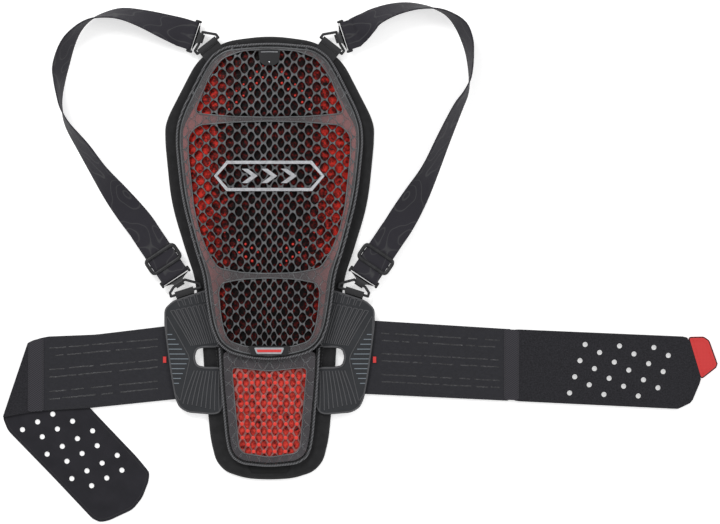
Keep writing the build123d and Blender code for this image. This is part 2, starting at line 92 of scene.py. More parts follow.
CORE_HALF = [
    (0, 237), (45, 233), (61, 219), (86, 166), (97.5, 146), (97, 122), (90, 60), (78, 12), (66, -16),
    (62, -50), (57, -82), (48, -97), (0, -105),
]
TAIL_HALF = [
    (0, -95), (57.3, -95), (55.1, -138.4), (49.3, -201.4), (46.5, -216.5), (41.3, -225.7), (31, -232),
    (0, -235.4),
]
TAIL_WINDOW_HALF = [(0, -126.9), (42.4, -122.3), (34.6, -213), (29.8, -219.5), (0, -223.9)]
WING = [
    (-56, -36), (-71.8, -35.6), (-108.3, -47.6), (-118.4, -57), (-118.6, -76.6), (-111.6, -130.5),
    (-106.6, -157.4), (-101.8, -168.3), (-92, -174), (-52, -177.2), (-53, -122.3), (-73, -122.3),
    (-81.5, -120.5), (-84.2, -111.6), (-81.5, -102.5), (-73, -100.9), (-56.5, -100.9),
]
BELTS = {
    "left": [(-92.4, -73.8), (-195.8, -86.2), (-249.4, -88.4), (-263, -91.2), (-263, -172.6),
             (-203.4, -169.1), (-84.2, -156.8)],
    "right": [(92.8, -69), (119.4, -70.6), (263.7, -79.6), (272.5, -80), (272.5, -161), (112, -153.4),
              (84.8, -152.1)],
}
PANELS = {
    "left": [(-262, -90.8), (-272.5, -95.4), (-300.9, -179.8), (-285, -176.5), (-262, -172.6)],
    "right": [(271.5, -80), (471.5, -88.6), (486.3, -136.8), (475.5, -162.6), (460, -170.1), (271.5, -161)],
}
BANDS = {
    "left": [(-254.2, -89), (-272, -95.4), (-272.6, -173.4), (-254.2, -172.4)],
    "right": [(263.7, -80.1), (281.4, -80.9), (281, -160.4), (263.5, -159.6)],
}
FLAP = [
    (-272.5, -95.4), (-149.6, -224.3), (-135.4, -241.5), (-136.5, -252), (-143.6, -270.3), (-154.2, -283.4),
    (-180.8, -295.8), (-191, -297.8), (-199.8, -293.8), (-242.7, -248.2), (-295, -194.4), (-300.9, -179.8),
]
TAB = [(471.5, -89.1), (489, -88.8), (495, -93), (504.4, -119.3), (503, -123.2), (485.8, -136.8)]
PATCH = [(300, -84.5), (466, -92), (478, -134), (469, -157), (456, -163), (300, -156)]

STRAPS = {
    "left": [
        (-101, 254.7, 9, 8), (-116, 259.9, 7, 28), (-142, 268.9, 4, 50), (-166, 274.5, 2, 64),
        (-186, 272.9, 1.5, 78), (-202.6, 267.3, 1.5, 90), (-216.2, 256.1, 1.5, 102),
        (-227.3, 239.1, 1.5, 116), (-234.6, 216, 1.5, 120), (-236, 199.8, 1.5, 110),
        (-235.8, 183, 1.5, 98), (-233.9, 168.4, 1.5, 90), (-226.6, 149.1, 1.5, 78),
        (-208.7, 123.4, 1.5, 63), (-190.4, 95.2, 1.8, 52), (-170, 68, 3, 28),
    ],
    "right": [
        (99, 256, 9, 12), (109.5, 264, 7, 36), (119, 271, 5, 50), (136.1, 278.1, 3, 60),
        (154.4, 282, 2, 69), (172.7, 282.3, 1.5, 80), (189.8, 279.2, 1.5, 90), (203.5, 272.4, 1.5, 99),
        (216, 260.2, 1.5, 112), (222.5, 244.6, 1.5, 111), (225.2, 229.3, 1.5, 104), (226, 212.2, 1.5, 97),
        (224.9, 198.8, 1.5, 90), (220.4, 184.5, 1.5, 79), (211.6, 168.5, 1.5, 70), (197.2, 137, 1.5, 62),
        (180.5, 98.5, 1.8, 52), (165, 70, 3, 30),
    ],
}
UPPER_SLOT, UPPER_WAY = (-87.0, 250.1), 162.0
LOWER_SLOT, LOWER_END = (-107.3, -19.5), (-146.0, 38.0)

# ---- details ----
PAD_PROFILE = [
    (14, 1.3), (3, 1.3), (0.8, 1.5), (0.1, 2.2), (0, 3.2), (0.5, 4.6), (1.6, 6.0), (3.2, 7.2), (5.2, 7.85),
    (7.5, 8.0), (12, 8.0),
]
LINING_PROFILE = [(16, 0), (4, 0), (2.2, 0.1), (1.6, 0.5), (1.6, 1.0), (2.2, 1.35), (16, 1.35)]
SHELL_WALL = [(0.9, None), (0.5, -4.0), (0.4, -1.2), (1.0, -0.6), (2.6, -1.2), (3.8, -1.5), (4.8, -1.0),
              (5.2, -1.5), (5.2, -5.0)]
TAIL_WALL = [(0.9, None), (0.5, -3.0), (0.4, -1.2), (1.0, -0.6), (2.6, -1.2), (3.6, -1.5), (4.4, -1.0),
             (4.8, -1.5), (4.8, -4.5)]
PIPING_INSET = PIPING_RADIUS = 1.15
CELL_PITCH, TAIL_PITCH = 14.0, 15.5
FIRST_ROW, CELL_ROWS = 3.0, range(-18, 36)
CELL_STEPS, OUTLINE_STEPS = 5, 24
STUD_LINES = ((222.66, 0.94, 6, 52), (210.16, 0.94, 6, 52), (1.5, -0.55, 10, 60), (-14.0, -0.6, 10, 60))
SCALE_RIM = [(-116.4, -63.5), (-89.3, -112.5), (-100.5, -161.5), (-106.5, -152), (-115.0, -95)]
SLOT_RIM = [
    (-56.5, -99.4), (-73, -99.2), (-82.6, -101.4), (-86.2, -111.6), (-82.6, -121.8), (-73, -124), (-54, -124),
]
STRAP_TURN = [(9, -1.9), (4, -2.3), (0, -2.75), (-1.9, -1.95), (-2.75, 0), (-1.9, 1.95), (0, 2.75), (3, 2.3),
              (7, 1.1), (11, 0.4)]
SLIDER_AT, SLIDER_LONG, SLIDER_WIDE = 22.0, 8.8, 18.6
HOLE_RADIUS, HOLE_SIDES = 2.9, 16
BEND_REACH = 5.0
STITCH_STEP = 0.5
TINY = 1e-9
WELD = 0.00001


# ---- plane geometry ----
def crown(x, y, top):
    """Height of the crowned surface that passes the origin's axis at this height."""
    drop = CROWN_ACROSS - math.sqrt(CROWN_ACROSS**2 - x**2)
    base = SHELL_TOP - CROWN_ALONG
    return base + math.sqrt((top - base - drop) ** 2 - y**2)


def mirrored(half):
    return half + [(-x, y) for x, y in reversed(half[1:-1])]


def corner(before, point, after, share, steps, limit):
    """The short curve that rounds off one corner, limit mm from it at most."""
    a, p, b = Vector(before), Vector(point), Vector(after)
    run = min(share * min((p - a).length, (b - p).length), limit)
    start, end = p + (a - p).normalized() * run, p + (b - p).normalized() * run
    shares = [k / steps for k in range(steps + 1)]
    return [start * (1 - t) ** 2 + p * 2 * t * (1 - t) + end * t**2 for t in shares]


def rounded(points, share=0.42, steps=5, limit=60.0, closed=True):
    """An outline with its corners rounded off. An open line keeps its ends."""
    around = zip(points[-1:] + points[:-1], points, points[1:] + points[:1])
    corners = [corner(*three, share, steps, limit) for three in around]
    if closed:
        return [p for curve in corners for p in curve]
    return [Vector(points[0])] + [p for curve in corners[1:-1] for p in curve] + [Vector(points[-1])]


def even(loop, gap, closed=True):
    """The same line with points an even gap apart."""
    line = [Vector(p) for p in loop] + ([Vector(loop[0])] if closed else [])
    lengths = [(b - a).length for a, b in zip(line, line[1:])]
    total = sum(lengths)
    count = max(3, round(total / gap))
    out, i, passed = [], 0, 0.0
    for k in range(count if closed else count + 1):
        want = total * k / count
        while i < len(lengths) - 1 and passed + lengths[i] < want:
            passed += lengths[i]
            i += 1
        t = min((want - passed) / max(lengths[i], TINY), 1.0)
        out.append(line[i].lerp(line[i + 1], t))
    return out


def area(loop):
    return 0.5 * sum(a[0] * b[1] - b[0] * a[1] for a, b in zip(loop, loop[1:] + loop[:1]))


def normals(line, closed=True):
    """Outward normals of an outline. An open line has the outside on its right."""
    turn = 1 if not closed or area(line) > 0 else -1
    last = len(line) - 1
    out = []
    for i in range(len(line)):
        a = line[i - 1] if closed else line[max(i - 1, 0)]
        b = line[(i + 1) % len(line)] if closed else line[min(i + 1, last)]
        way = (b - a).normalized()
        out.append(Vector((way.y, -way.x)) * turn)
    return out


def inset_line(line, inset, closed=True):
    return [p - n * inset for p, n in zip(line, normals(line, closed))]


def lifted(line, top, rise):
    return [(p[0], p[1], crown(p[0], p[1], top) + rise) for p in line]


def inside_by(point, loop):
    """How far a point lies inside a closed outline; negative outside."""
    p, near, inside = Vector(point), math.inf, False
    for a, b in zip(loop, loop[1:] + loop[:1]):
        ab = b - a
        t = min(max((p - a).dot(ab) / max(ab.length_squared, TINY), 0), 1)
        near = min(near, (p - a - ab * t).length)
        if (a.y > p.y) != (b.y > p.y) and p.x < a.x + ab.x * (p.y - a.y) / ab.y:
            inside = not inside
    return near if inside else -near


def inside_any(point, loops):
    return max(inside_by(point, loop) for loop in loops)


def catmull(stations, steps):
    """A smooth line through tuples of numbers."""
    out, last = [], len(stations) - 1
    for i in range(last):
        near = [stations[min(max(k, 0), last)] for k in (i - 1, i, i + 1, i + 2)]
        for t in (j / steps for j in range(steps)):
            out.append(tuple(
                0.5 * (2 * b + (c - a) * t + (2 * a - 5 * b + 4 * c - d) * t**2
                       + (3 * b - a - 3 * c + d) * t**3)
                for a, b, c, d in zip(*near)
            ))
    return out + [tuple(stations[-1])]


# ---- mesh building ----
class Shape:
    """Points and faces, gathered from several forms into one mesh."""

    def __init__(self):
        self.points, self.faces, self.kinds = [], [], []

    def rings(self, rings, closed=True, kind=0, caps=False):
        """Quads between rows of points. closed joins each row's ends, caps fills the first and last row."""
        n, first = len(rings[0]), len(self.points)
        faces = []
        for r in range(len(rings) - 1):
            for i in range(n if closed else n - 1):
                j = (i + 1) % n
                faces.append((r * n + i, r * n + j, (r + 1) * n + j, (r + 1) * n + i))
        if caps:
            faces.append(tuple(reversed(range(n))))
            faces.append(tuple(range((len(rings) - 1) * n, len(rings) * n)))
        self.points += [tuple(p) for ring in rings for p in ring]
        self.faces += [tuple(i + first for i in face) for face in faces]
        self.kinds += [kind] * len(faces)

    def tube(self, line, radius, closed=False, sides=8, flat=1.0):
        """A round or flattened tube along a 3-D line."""
        line = [Vector(p) for p in line]
        rings = []
        for i, p in enumerate(line):
            a = line[i - 1] if closed or i else line[0]
            b = line[(i + 1) % len(line)] if closed or i < len(line) - 1 else line[-1]
            way = (b - a).normalized()
            side = way.cross(Vector((0, 0, 1)))
            side = side.normalized() if side.length > 1e-4 else Vector((1, 0, 0))
            up = side.cross(way)
            rings.append([
                p + side * radius * math.cos(t) + up * radius * flat * math.sin(t)
                for t in (2 * math.pi * k / sides for k in range(sides))
            ])
        if closed:
            rings.append(rings[0])
        self.rings(rings, caps=not closed)

    def stitches(self, line, length=2.6, gap=1.6, radius=0.35):
        """A row of thread stitches along a 3-D line."""
        fine = even(line, STITCH_STEP, closed=False)
        step, long = int((length + gap) / STITCH_STEP), int(length / STITCH_STEP)
        for a, b in zip(fine[:len(fine) - long:step], fine[long::step]):
            mid = (a + b) / 2 + Vector((0, 0, radius * 0.6))
            rise = Vector((0, 0, radius * 0.2))
            self.tube([a, a.lerp(mid, 0.5) + rise, mid, b.lerp(mid, 0.5), b], radius, sides=6)

    def dome(self, x, y, z, radius, height, turns=(0.0, 0.35, 0.7, 1.05, 1.35), sides=12):
        rings = []
        for t in turns:
            r, rise = radius * math.cos(t), height * math.sin(t)
            rings.append([(x + r * math.cos(u), y + r * math.sin(u), z + rise)
                          for u in (2 * math.pi * m / sides for m in range(sides))])
        self.rings(rings, caps=True)

    def mesh(self, name="part"):
        made = bpy.data.meshes.new(name)
        made.from_pydata([(x * MM, y * MM, z * MM) for x, y, z in self.points], [], self.faces)
        return made

    def object(self, name, looks, body, slot, stands_for=()):
        """A piece of its own. looks names its material, or one material for each kind of face."""
        mesh = self.mesh(name)
        for look in looks if isinstance(looks, list) else [looks]:
            mesh.materials.append(LOOKS[look])
        mesh.polygons.foreach_set("material_index", self.kinds)
        turn_outward(mesh, weld=True)
        return finish_object(name, mesh, body, stands_for)


def turn_outward(mesh, weld=False):
    """Makes a mesh's faces look outward, and welds the points that coincide if asked."""
    edit = bmesh.new()
    edit.from_mesh(mesh)
    if weld:
        bmesh.ops.remove_doubles(edit, verts=edit.verts, dist=WELD)
    bmesh.ops.recalc_face_normals(edit, faces=edit.faces)
    edit.to_mesh(mesh)
    edit.free()


def finish_object(name, mesh, body, stands_for=(), sharp=45):
    mesh.shade_smooth()
    mesh.set_sharp_from_angle(angle=math.radians(sharp))
    piece = bpy.data.objects.new(name, mesh)
    bpy.context.scene.collection.objects.link(piece)
    if body:
        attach(piece, body)
    if stands_for:
        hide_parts(*stands_for)
    return piece


def sheet_mesh(outer, holes, top, thick, cell=7.0):
    """A flat outline with holes, cut into small faces, laid on a surface top(x, y) and given a thickness."""
    edit = bmesh.new()
    for loop in [outer] + holes:
        points = [edit.verts.new((p[0], p[1], 0)) for p in loop]
        for a, b in zip(points, points[1:] + points[:1]):
            edit.edges.new((a, b))
    bmesh.ops.triangle_fill(edit, use_beauty=True, use_dissolve=False, edges=edit.edges[:])
    xs, ys = [p[0] for p in outer], [p[1] for p in outer]
    for low, high, normal in ((min(xs), max(xs), (1, 0, 0)), (min(ys), max(ys), (0, 1, 0))):
        for k in range(1, int((high - low) / cell) + 1):
            at = [(low + k * cell) * n for n in normal]
            geometry = edit.verts[:] + edit.edges[:] + edit.faces[:]
            bmesh.ops.bisect_plane(edit, geom=geometry, plane_co=at, plane_no=normal, dist=0.0001)
    for v in edit.verts:
        v.co.z = top(v.co.x, v.co.y)
    bmesh.ops.recalc_face_normals(edit, faces=edit.faces)
    if sum(f.normal.z for f in edit.faces) < 0:
        bmesh.ops.reverse_faces(edit, faces=edit.faces)
    made = bmesh.ops.extrude_face_region(edit, geom=edit.faces[:])
    upper = {part for part in made["geom"] if isinstance(part, bmesh.types.BMVert)}
    for v in edit.verts:
        if v not in upper:
            v.co.z -= thick
    bmesh.ops.recalc_face_normals(edit, faces=edit.faces)
    for v in edit.verts:
        v.co *= MM
    mesh = bpy.data.meshes.new("sheet")
    edit.to_mesh(mesh)
    edit.free()
    return mesh


def plate_mesh(points, share, gap, low, high, edge, holes=()):
    """A flat plate with rounded corners, holes and softly rounded edges."""
    curve = bpy.data.curves.new("plate", "CURVE")
    curve.dimensions, curve.fill_mode = "2D", "BOTH"
    for loop in [even(rounded(points, share), gap), *holes]:
        spline = curve.splines.new("POLY")
        spline.points.add(len(loop) - 1)
        for point, p in zip(spline.points, loop):
            point.co = (p[0] * MM, p[1] * MM, 0, 1)
        spline.use_cyclic_u = True
    curve.extrude = ((high - low) / 2 - edge) * MM
    curve.bevel_depth, curve.bevel_resolution, curve.offset = edge * MM, 2, -edge * MM
    holder = bpy.data.objects.new("plate", curve)
    bpy.context.scene.collection.objects.link(holder)
    mesh = bpy.data.meshes.new_from_object(holder)
    bpy.data.objects.remove(holder)
    for v in mesh.vertices:
        v.co.z += (low + high) / 2 * MM
    return mesh


def join(name, forms, looks, body, stands_for=()):
    """One piece from several forms, each a shape or a mesh with a material of its own."""
    edit = bmesh.new()
    used = list(dict.fromkeys(looks))
    for form, look in zip(forms, looks):
        before = len(edit.faces)
        edit.from_mesh(form.mesh() if isinstance(form, Shape) else form)
        edit.faces.ensure_lookup_table()
        for face in edit.faces[before:]:
            face.material_index = used.index(look)
    out = bpy.data.meshes.new(name)
    edit.to_mesh(out)
    edit.free()
    for look in used:
        out.materials.append(LOOKS[look])
    return finish_object(name, out, body, stands_for)


# ---- materials ----
class Look:
    """A node material: a Principled shader with helpers that add detail to it."""

    def __init__(self, name, colour, rough, **values):
        self.material = bpy.data.materials.new(name)
        self.material.use_nodes = True
        self.tree = self.material.node_tree
        self.shader = self.tree.nodes["Principled BSDF"]
        self.height = None
        plain = {"Base_Color": (*colour, 1), "Roughness": rough, "Specular_IOR_Level": 0.22}
        self.set(self.shader, **{**plain, **values})

    def feed(self, socket, value):
        if isinstance(value, bpy.types.NodeSocket):
            self.tree.links.new(value, socket)
        else:
            socket.default_value = value

    def set(self, node, **inputs):
        """Sets or links a node's inputs. Underscores stand for the spaces in their names."""
        for name, value in inputs.items():
            self.feed(node.inputs[name.replace("_", " ")], value)
        return node

    def node(self, kind, **inputs):
        return self.set(self.tree.nodes.new(kind), **inputs)

    def place(self, stretch=(1, 1, 1), turn=0.0, space="Object"):
        where = self.node("ShaderNodeTexCoord").outputs[space]
        return self.node("ShaderNodeMapping", Vector=where, Scale=stretch,
                         Rotation=(0, 0, math.radians(turn))).outputs["Vector"]

    def from_middle(self):
        """How far a point lies from the object's middle plane, in metres."""
        split = self.node("ShaderNodeSeparateXYZ", Vector=self.node("ShaderNodeTexCoord").outputs["Object"])
        return self.math("ABSOLUTE", split.outputs["X"])

    def noise(self, size, detail=3.0, rough=0.6):
        """Noise with features about size mm across."""
        return self.node("ShaderNodeTexNoise", Vector=self.place(), Scale=1 / (size * MM), Detail=detail,
                         Roughness=rough).outputs["Fac"]

    def bands(self, pitch, turn=0.0, space="Object"):
        """Even bands, pitch mm apart."""
        return self.node("ShaderNodeTexWave", Vector=self.place(turn=turn, space=space),
                         Scale=2 * math.pi / 20 / (pitch * MM)).outputs["Fac"]

    def cells(self, size, stretch=(1, 1, 1), **values):
        """Distance from the middles of cells about size mm across."""
        return self.node("ShaderNodeTexVoronoi", Vector=self.place(stretch), Scale=1 / (size * MM),
                         **values).outputs["Distance"]

    def math(self, kind, a, b=0.0):
        made = self.tree.nodes.new("ShaderNodeMath")
        made.operation = kind
        for socket, value in zip(made.inputs, (a, b)):
            self.feed(socket, value)
        return made.outputs[0]

    def ramp(self, value, stops):
        made = self.tree.nodes.new("ShaderNodeValToRGB")
        self.tree.links.new(value, made.inputs["Fac"])
        while len(made.color_ramp.elements) < len(stops):
            made.color_ramp.elements.new(0.5)
        for element, (at, colour) in zip(made.color_ramp.elements, stops):
            element.position = at
            element.color = (*colour, 1)
        return made.outputs["Color"]

    def colour(self, value, *stops):
        self.tree.links.new(self.ramp(value, stops), self.shader.inputs["Base Color"])
        return self

    def bump(self, value, depth, strength=0.6):
        """Adds relief, depth mm deep, on top of any relief the material already has."""
        made = self.node("ShaderNodeBump", Height=value, Distance=depth * MM, Strength=strength)
        if self.height:
            self.tree.links.new(self.height, made.inputs["Normal"])
        self.height = made.outputs["Normal"]
        self.tree.links.new(self.height, self.shader.inputs["Normal"])
        return self

    def dapple(self, grain, *stops):
        """Colour that follows noise; grain is the noise's size, detail and roughness."""
        return self.colour(self.noise(*grain), *stops)

    def grain(self, size, depth, detail=3.0, rough=0.6, strength=0.6):
        """Relief that follows noise."""
        return self.bump(self.noise(size, detail, rough), depth, strength)

    def weave(self, pitch, depth, turn):
        """A plain weave: two crossing sets of bands."""
        return self.bump(self.math("MAXIMUM", self.bands(pitch, turn), self.bands(pitch, turn + 90)), depth)


def grey(v):
    return (v, v, v * 1.06)


def make_looks():
    looks = {}
    foam = Look("pad_fabric", grey(0.02), 0.85, Sheen_Weight=0.06, Sheen_Roughness=0.5)
    foam.dapple((9, 4), (0.35, grey(0.015)), (0.7, grey(0.022)))
    looks["foam"] = foam.weave(1.3, 0.12, 45).grain(0.8, 0.1)
    lining = Look("spacer_mesh", grey(0.05), 0.9, Sheen_Weight=0.2)
    pores = lining.cells(3, (1, 0.7, 1))
    looks["lining"] = lining.colour(pores, (0.1, grey(0.012)), (0.45, grey(0.06))).bump(pores, 0.5)
    looks["edge"] = Look("shell_binding", grey(0.012), 0.7).grain(1.2, 0.15)
    twill = Look("twill_piping", grey(0.13), 0.7, Sheen_Weight=0.2)
    stripes = twill.bands(2.2, 38)
    looks["piping"] = twill.colour(stripes, (0.25, grey(0.04)), (0.6, grey(0.14))).bump(stripes, 0.25)
    thread = Look("thread", grey(0.03), 0.6, Sheen_Weight=0.2)
    looks["thread"] = thread.bump(thread.bands(0.5, 30), 0.08)

    smoke = Look("smoke_shell", grey(0.1), 0.3, Alpha=0.36, Specular_IOR_Level=0.4)
    smoke.dapple((30, 2), (0.3, (0.12, 0.11, 0.115)), (0.75, (0.165, 0.152, 0.158)))
    looks["smoke"] = smoke.grain(14, 0.5, 1, strength=0.3)
    smoke = Look("tail_smoke", grey(0.09), 0.35, Alpha=0.68, Specular_IOR_Level=0.35)
    smoke.dapple((30, 2), (0.3, (0.066, 0.061, 0.067)), (0.75, (0.098, 0.09, 0.098)))
    looks["tail_smoke"] = smoke.grain(14, 0.4, 1, strength=0.3)
    lattice = Look("lattice", grey(0.11), 0.33, Specular_IOR_Level=0.4)
    lattice.dapple((16, 3), (0.3, (0.085, 0.088, 0.092)), (0.72, (0.14, 0.145, 0.152)))
    looks["lattice"] = lattice.grain(2.5, 0.12)
    wall = Look("cell_walls", (0.012, 0.006, 0.006), 0.4, Specular_IOR_Level=0.1)
    looks["wall"] = wall.dapple((12, 2), (0.45, (0.005, 0.0035, 0.0035)), (0.75, (0.06, 0.005, 0.004)))
    looks["core"] = core_look()
    # Painted highlight: the core's edge under the frame goes from dark near the middle to bright pink towards
    # the sides, standing in for light caught along it.
    border = Look("core_edge_painted_highlight", (0.3, 0.02, 0.018), 0.5)
    painted_highlight_mask = border.math("MULTIPLY", border.from_middle(), 10.0)
    border.colour(painted_highlight_mask, (0.4, (0.02, 0.006, 0.006)), (0.8, (0.8, 0.19, 0.175)))
    looks["core_edge_painted_highlight"] = border.grain(3, 0.3)
    looks["stud"] = Look("core_studs", (0.8, 0.06, 0.045), 0.3).grain(1.5, 0.1)

    top = Look("tail_lattice", (0.3, 0.11, 0.1), 0.35)
    top.dapple((7, 3), (0.3, (0.16, 0.05, 0.045)), (0.7, (0.38, 0.15, 0.14)))
    looks["tail_top"] = top.grain(2, 0.12)
    pits = Look("tail_pits", (0.5, 0.03, 0.02), 0.4)
    looks["tail_wall"] = pits.dapple((6, 2), (0.35, (0.1, 0.004, 0.003)), (0.65, (0.55, 0.035, 0.022)))
    floor = Look("tail_core", (0.6, 0.04, 0.03), 0.45)
    floor.dapple((5, 2), (0.33, (0.012, 0.001, 0.001)), (0.37, (0.26, 0.01, 0.007)), (0.6, (0.8, 0.06, 0.04)))
    looks["tail_floor"] = floor.grain(2, 0.4)

    rubber = Look("wing_rubber", grey(0.04), 0.55)
    rubber.dapple((25, 3), (0.3, (0.026, 0.028, 0.031)), (0.7, (0.034, 0.036, 0.04)))
    looks["rubber"] = rubber.grain(0.7, 0.08)
    # Painted highlight: the wing's raised rims and ribs are the wing's own rubber, given a lighter grey for
    # the light along their edges.
    looks["ribs"] = Look("wing_ribs_painted_highlight", grey(0.085), 0.45).grain(0.8, 0.06)
    looks["badge"] = Look("badge_rubber", grey(0.025), 0.35).grain(0.8, 0.05)
    for name, rough in (("hook", 0.38), ("ring", 0.32)):
        nylon = Look(f"{name}_nylon", grey(0.03), rough)
        looks[name] = nylon.dapple((6, 3), (0.3, grey(0.022)), (0.75, grey(0.042))).grain(0.6, 0.04)
    yoke = Look("yoke_nylon", grey(0.035), 0.22, Specular_IOR_Level=0.5)
    looks["yoke"] = yoke.grain(5, 0.5, 2, strength=0.5)
    metal = Look("emblem_metal", (0.6, 0.61, 0.64), 0.3, Metallic=0.9)
    metal.set(metal.shader, Roughness=metal.ramp(metal.noise(5, 3), [(0.3, (0.22,) * 3), (0.7, (0.42,) * 3)]))
    looks["metal"] = metal.bump(metal.bands(0.35, 20), 0.02)
    looks["mark"] = Look("scale_print", (0.2, 0.23, 0.26), 0.5).grain(0.5, 0.04)
    red = Look("red_rubber", (0.7, 0.06, 0.06), 0.45)
    hexes = red.cells(1.6, Randomness=0.0)
    looks["red"] = red.colour(hexes, (0.15, (0.8, 0.075, 0.07)), (0.7, (0.6, 0.045, 0.045))).bump(hexes, 0.25)

    web = Look("webbing", grey(0.033), 0.75, Sheen_Weight=0.05, Sheen_Roughness=0.4)
    web.colour(contour_lines(web), (0.0, grey(0.052)), (0.1, (0.026, 0.0245, 0.031)),
               (1.0, (0.023, 0.0215, 0.028)))
    looks["webbing"] = web.bump(web.math("MAXIMUM", web.bands(1.1, 0, "UV"), web.bands(1.4, 90, "UV")), 0.22)
    looks["tape"] = Look("loop_webbing", grey(0.03), 0.75, Sheen_Weight=0.2).weave(1.0, 0.2, 40)

    elastic = Look("belt_elastic", grey(0.025), 0.8, Sheen_Weight=0.05, Sheen_Roughness=0.5)
    elastic.dapple((3, 6, 0.8), (0.3, (0.02, 0.02, 0.024)), (0.62, (0.027, 0.027, 0.032)),
                   (0.8, (0.038, 0.038, 0.045)))
    looks["elastic"] = elastic.bump(elastic.bands(1.5, 86), 0.2, 0.5).grain(0.9, 0.15)
    pile = Look("loop_pile", grey(0.02), 0.95, Sheen_Weight=0.1, Sheen_Roughness=0.6)
    pile.dapple((1.6, 5, 0.8), (0.35, (0.008, 0.008, 0.01)), (0.7, (0.033, 0.032, 0.039)))
    looks["pile"] = pile.grain(1.3, 0.9, 5, 0.8, 0.9)
    smooth = Look("belt_lining", (0.026, 0.025, 0.032), 0.62)
    smooth.dapple((22, 3), (0.3, (0.013, 0.0125, 0.0165)), (0.7, (0.019, 0.0182, 0.0235)))
    looks["smooth"] = smooth.grain(0.7, 0.06)
    band = Look("band_twill", grey(0.045), 0.75)
    ribbed = band.bands(1.9, 55)
    band.colour(ribbed, (0.2, (0.025, 0.024, 0.029)), (0.7, (0.05, 0.048, 0.056)))
    looks["band"] = band.bump(ribbed, 0.25)
    # Grip line silicone: dark in tone, with light grey patches that are painted glints on its shiny surface.
    gloss = Look("grip_print_painted_glints", grey(0.05), 0.25)
    gloss.dapple((4, 4, 0.8), (0.4, grey(0.03)), (0.62, grey(0.07)), (0.8, grey(0.25)))
    looks["gloss"] = gloss.grain(1.5, 0.2)
    return {name: look.material for name, look in looks.items()}


def core_look():
    """Deep red foam, near black in the middle and brighter in bands down both sides."""
    look = Look("core_foam", (0.1, 0.01, 0.01), 0.45, Specular_IOR_Level=0.12)
    side = look.node("ShaderNodeMapRange", Value=look.from_middle(), From_Min=0.036, From_Max=0.078,
                     To_Min=0.0, To_Max=0.24)
    mottled = look.math("ADD", look.noise(6, 4, 0.7), side.outputs["Result"])
    look.colour(mottled, (0.5, (0.004, 0.0025, 0.0025)), (0.62, (0.1, 0.006, 0.005)),
                (0.8, (0.75, 0.035, 0.022)))
    return look.grain(4, 1.0, 2)


def contour_lines(look):
    """Thin wandering level lines, for the webbing's faint print."""
    place = look.place((1.0, 1.6, 1.0), 24, "UV")
    field = look.node("ShaderNodeTexNoise", Vector=place, Scale=1 / (42 * MM), Detail=1.0, Roughness=0.3)
    steps = look.math("FRACT", look.math("MULTIPLY", field.outputs["Fac"], 7.0))
    return look.math("ABSOLUTE", look.math("SUBTRACT", steps, 0.5))


# ---- the panel ----
def swept(line, profile, height, closed=True):
    """Rows of points along a line, one for each (inset, rise) of a profile."""
    return [[(q.x, q.y, height(q.x, q.y, rise)) for q in inset_line(line, inset, closed)]
            for inset, rise in profile]


def level(x, y, z):
    return z


def build_pad():
    """Foam pad with a rounded, fabric-covered edge, its pocket at the foot, and the lining under it."""
    loop = even(rounded(mirrored(PAD_HALF)), 4.0)
    shape = Shape()
    shape.rings(swept(loop, PAD_PROFILE, level), caps=True)
    shape.object("foam_pad", "foam", "panel", "foam", ["back_pad"])
    shape = Shape()
    pocket = even(rounded([(-24, -234.6), (24, -234.6), (20, -242.0), (-20, -242.0)], 0.3), 1.5)
    shape.tube([(p.x, p.y, PAD_TOP + 0.05) for p in pocket], 0.6, closed=True, sides=6)
    shape.rings(swept(pocket, [(0.5, PAD_TOP - 0.2), (0.5, PAD_TOP + 0.12)], level), caps=True)
    shape.object("pad_pocket", "edge", "panel", "foam")
    shape = Shape()
    shape.rings(swept(loop, LINING_PROFILE, level), caps=True)
    shape.object("body_lining", "lining", "panel", "lining", ["pad_lining"])


def build_edge(shell, cord, line, top, wall, groove, closed):
    """A shell's side wall, twill piping and stitched groove. The wall's first row stands on the pad."""
    def height(x, y, rise):
        return PAD_TOP if rise is None else crown(x, y, top) + rise

    shape = Shape()
    shape.rings(swept(line, wall, height, closed), closed=closed)
    shape.object(f"{shell}_binding", "edge", "panel", "badge")
    shape = Shape()
    shape.tube(lifted(inset_line(line, PIPING_INSET, closed), top, -0.55), PIPING_RADIUS, closed, sides=10)
    shape.object(cord, "piping", "panel", "piping", [f"{shell}_piping"])
    shape = Shape()
    seam = lifted(inset_line(line, groove, closed), top, -1.25)
    shape.stitches(seam + seam[:1] if closed else seam, 2.4, 1.6, 0.36)
    shape.object(f"{shell}_stitching", "thread", "panel", "webbing")


def column_x(k):
    """Where a column of cells stands, counted from the middle: the columns widen outwards."""
    n = abs(k)
    x = 6.2 * n + 0.2 * n * n if n <= 8 else 62.4 + 8.4 * (n - 8)
    return math.copysign(x, k)


def narrowing(y):
    """The columns close in towards the waist."""
    return 1.0 - 0.18 * min((110 - y) / 200, 1.0) if y <= 110 else 1.0


def tail_column(k):
    return 6.75 * k


def tail_squeeze(y):
    return 1.0 - 0.0012 * (-122 - y)


def leaf(a, b, power, t):
    """A point at angle t of a rounded diamond."""
    c, s = math.cos(t), math.sin(t)
    size = (abs(c / a) ** power + abs(s / b) ** power) ** (-1 / power)
    return size * c, size * s


